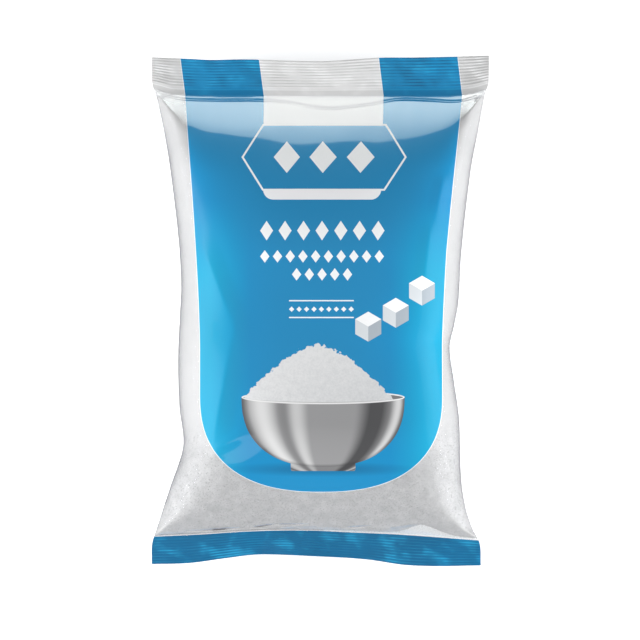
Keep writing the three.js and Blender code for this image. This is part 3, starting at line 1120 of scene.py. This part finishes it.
def crystalTree(finish):
    tree = bpy.data.node_groups.new("loose crystals", "GeometryNodeTree")
    given = valueInputs(tree, crystals)
    start = Wire(tree)
    place = start.make("GeometryNodeInputPosition")
    split = place.make("ShaderNodeSeparateXYZ", {}, {0: place})
    y = split.outlet("Y")
    bare = panelField(split, y)
    seen = bare.math("GREATER_THAN", bare, printed["outline"] * mm)
    seen = seen * y.math("LESS_THAN", y, given["Top End"])
    facing = start.make("GeometryNodeInputNormal")
    facing = facing.make("ShaderNodeSeparateXYZ", {}, {0: facing}).outlet("Z")
    seen = seen * facing.math("GREATER_THAN", facing, 0.02)
    density = ((given["Top End"] - y) / given["Fade"]).held() * given["Density"]
    sown = start.make("GeometryNodeDistributePointsOnFaces", {}, {
        "Mesh": given["Geometry"], "Selection": seen, "Density": density, "Seed": given["Seed"],
    })
    turn = start.make("FunctionNodeRandomValue", {"data_type": "FLOAT_VECTOR"}, {
        0: (0, 0, 0), 1: (6.28, 6.28, 6.28), "Seed": given["Seed"],
    })
    width = start.make("FunctionNodeRandomValue", {"data_type": "FLOAT"}, {
        2: given["Least"], 3: given["Most"], "Seed": given["Seed"] + 1,
    }, out=1)
    cube = start.make("GeometryNodeMeshCube", {}, {"Size": (1, 1, 1)})
    laidOut = start.make("GeometryNodeInstanceOnPoints", {}, {
        "Points": sown, "Instance": cube, "Rotation": turn, "Scale": width,
    })
    treeEnd(laidOut, finish)
    return tree


crystalLook = crystalFinish()
crystalMesh = plainResult(sugarPiece, crystalTree(crystalLook), crystals)
crystalMesh.name = "loose_crystals"
crystalPiece = bpy.data.objects.new("loose_crystals", crystalMesh)
bpy.context.scene.collection.objects.link(crystalPiece)
print("crystals:", len(crystalPiece.data.polygons) // 6)

for piece, slot in ((filmPiece, "printed_film"), (sugarPiece, "sugar"), (crystalPiece, "sugar")):
    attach(piece, "root")
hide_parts("sugar_bag")


# Floor, camera and soft studio light
studio = {
    "paper": (0.87, 0.87, 0.87, 1),
    "paperGlow": 0.50,
    "cameraHeight": 4.0,
    "frameWidth": 0.5408,  # metres across the picture, at the height of the bag's outline
    "outlineHeight": 0.033,
    "sensor": 36.0,
    "aim": (-0.0002, -0.0075),
}


def paperFinish():
    finish, start = shaderTree("paper")
    shader = start.make("ShaderNodeBsdfPrincipled", {}, {
        "Base Color": studio["paper"], "Roughness": 0.8,
        "Emission Color": (1, 1, 1, 1), "Emission Strength": studio["paperGlow"],
    })
    start.make("ShaderNodeOutputMaterial", {}, {"Surface": shader})
    return finish


floorMesh = bpy.data.meshes.new("floor")
floorMesh.from_pydata([(-6, -6, 0), (6, -6, 0), (6, 6, 0), (-6, 6, 0)], [], [(0, 1, 2, 3)])
floorMesh.materials.append(paperFinish())
floor = bpy.data.objects.new("floor", floorMesh)
bpy.context.scene.collection.objects.link(floor)
floor.visible_diffuse = False  # the bag's sides keep their grey edge against the pale floor
floor.visible_glossy = False

camera = bpy.data.objects.new("camera", bpy.data.cameras.new("camera"))
bpy.context.scene.collection.objects.link(camera)
camera.location = (*studio["aim"], studio["cameraHeight"])
camera.data.sensor_width = studio["sensor"]
reach = studio["cameraHeight"] - studio["outlineHeight"]
camera.data.lens = studio["sensor"] * reach / studio["frameWidth"]
bpy.context.scene.camera = camera


def softbox(box):  # glow is its brightness; some only light, and some are only mirrored
    width, height = box["size"]
    lamp = bpy.data.lights.new(box["name"], "AREA")
    lamp.shape = "RECTANGLE"
    lamp.size = width
    lamp.size_y = height
    lamp.energy = box["glow"] * math.pi * width * height
    stand = bpy.data.objects.new(box["name"], lamp)
    stand.location = box["place"]
    stand.rotation_euler = [math.radians(angle) for angle in box["turn"]]
    stand.visible_camera = False
    stand.visible_diffuse = box["use"] != "mirrored"
    stand.visible_glossy = box["use"] != "lights"
    bpy.context.scene.collection.objects.link(stand)


softboxes = [
    {
        "name": "leftGloss", "use": "mirrored", "glow": 0.12,
        "place": (-1.3, -0.3, 0.45), "turn": (0, -90, 0), "size": (0.8, 1.8),
    },
    {
        "name": "rightGloss", "use": "mirrored", "glow": 0.12,
        "place": (1.3, -0.3, 0.45), "turn": (0, 90, 0), "size": (0.8, 1.8),
    },
    {
        "name": "facetGloss", "use": "mirrored", "glow": 0.6,
        "place": (-0.59, -0.74, 1.15), "turn": (41.0, 0, -38.8), "size": (0.5, 0.26),
    },
    {
        "name": "leftFill", "use": "lights", "glow": 9.6,
        "place": (-1.15, -0.35, 0.40), "turn": (0, -78, 0), "size": (0.5, 1.7),
    },
    {
        "name": "rightFill", "use": "lights", "glow": 11.0,
        "place": (1.2, -0.35, 0.28), "turn": (0, 88, 0), "size": (0.5, 1.7),
    },
    {
        "name": "footFill", "use": "lights", "glow": 2.4,
        "place": (0.0, -1.4, 0.25), "turn": (90, 0, 0), "size": (2.0, 0.45),
    },
    {
        "name": "overhead", "use": "lights", "glow": 1.0,
        "place": (0.0, 0.0, 2.2), "turn": (0, 0, 0), "size": (2.4, 2.4),
    },
]
for box in softboxes:
    softbox(box)

# The film mirrors a long screen behind the top seal, brightest low down and fading to the upper right
screen = {
    "place": 1.2,
    "topEdge": [
        (-1.7, 0.90), (-0.9, 0.84), (-0.5, 0.73), (-0.22, 0.58), (0, 0.54), (0.25, 0.56),
        (0.55, 0.66), (0.9, 0.76), (1.7, 0.82),
    ],
    "glow": 3.2,
    "fadeFrom": 0.29,
    "fadeTo": 0.68,
    "fade": 0.58,
    "rightFade": 0.55,
    "middle": 0.3,  # how much brighter it is low in the middle
    "middleHalf": 0.5,
    "tint": (0.98, 1.03, 0.93),
}


def screenFinish():
    finish, start = shaderTree("screen")
    place = start.make("ShaderNodeTexCoord").outlet("Object")
    split = place.make("ShaderNodeSeparateXYZ", {}, {0: place})
    climb = ((split.outlet("Z") - screen["fadeFrom"]) / (screen["fadeTo"] - screen["fadeFrom"])).held()
    right = (split * 2 + 0.15).held()
    middle = (1 - abs(split) / screen["middleHalf"]).held() * (1 - climb * 2.1) * screen["middle"]
    glow = (middle + 1.15 - climb * (right * screen["rightFade"] + screen["fade"])) * screen["glow"]
    colour = start.make("ShaderNodeVectorMath", {"operation": "SCALE"}, {0: screen["tint"], "Scale": glow})
    light = start.make("ShaderNodeEmission", {}, {"Color": colour, "Strength": 1.0})
    start.make("ShaderNodeOutputMaterial", {}, {"Surface": light})
    return finish


screenEnds = [(screen["topEdge"][0][0], 0), (screen["topEdge"][-1][0], 0)]
screenOutline = screen["topEdge"][::-1] + screenEnds
screenMesh = bpy.data.meshes.new("screen")
screenMesh.from_pydata([(x, screen["place"], z) for x, z in screenOutline], [], [range(len(screenOutline))])
screenMesh.materials.append(screenFinish())
screenPiece = bpy.data.objects.new("screen", screenMesh)
bpy.context.scene.collection.objects.link(screenPiece)
screenPiece.visible_camera = False
screenPiece.visible_diffuse = False
screenPiece.visible_shadow = False
screenPiece.visible_transmission = False

world = bpy.data.worlds.new("studio")
world.use_nodes = True
world.node_tree.nodes.clear()
sky = Wire(world.node_tree)
ground = sky.make("ShaderNodeBackground", {}, {"Color": (0.97, 0.985, 1, 1), "Strength": 0.17})
sky.make("ShaderNodeOutputWorld", {}, {"Surface": ground})
bpy.context.scene.world = world
bpy.context.scene.view_settings.view_transform = "Standard"
print("studio ready")
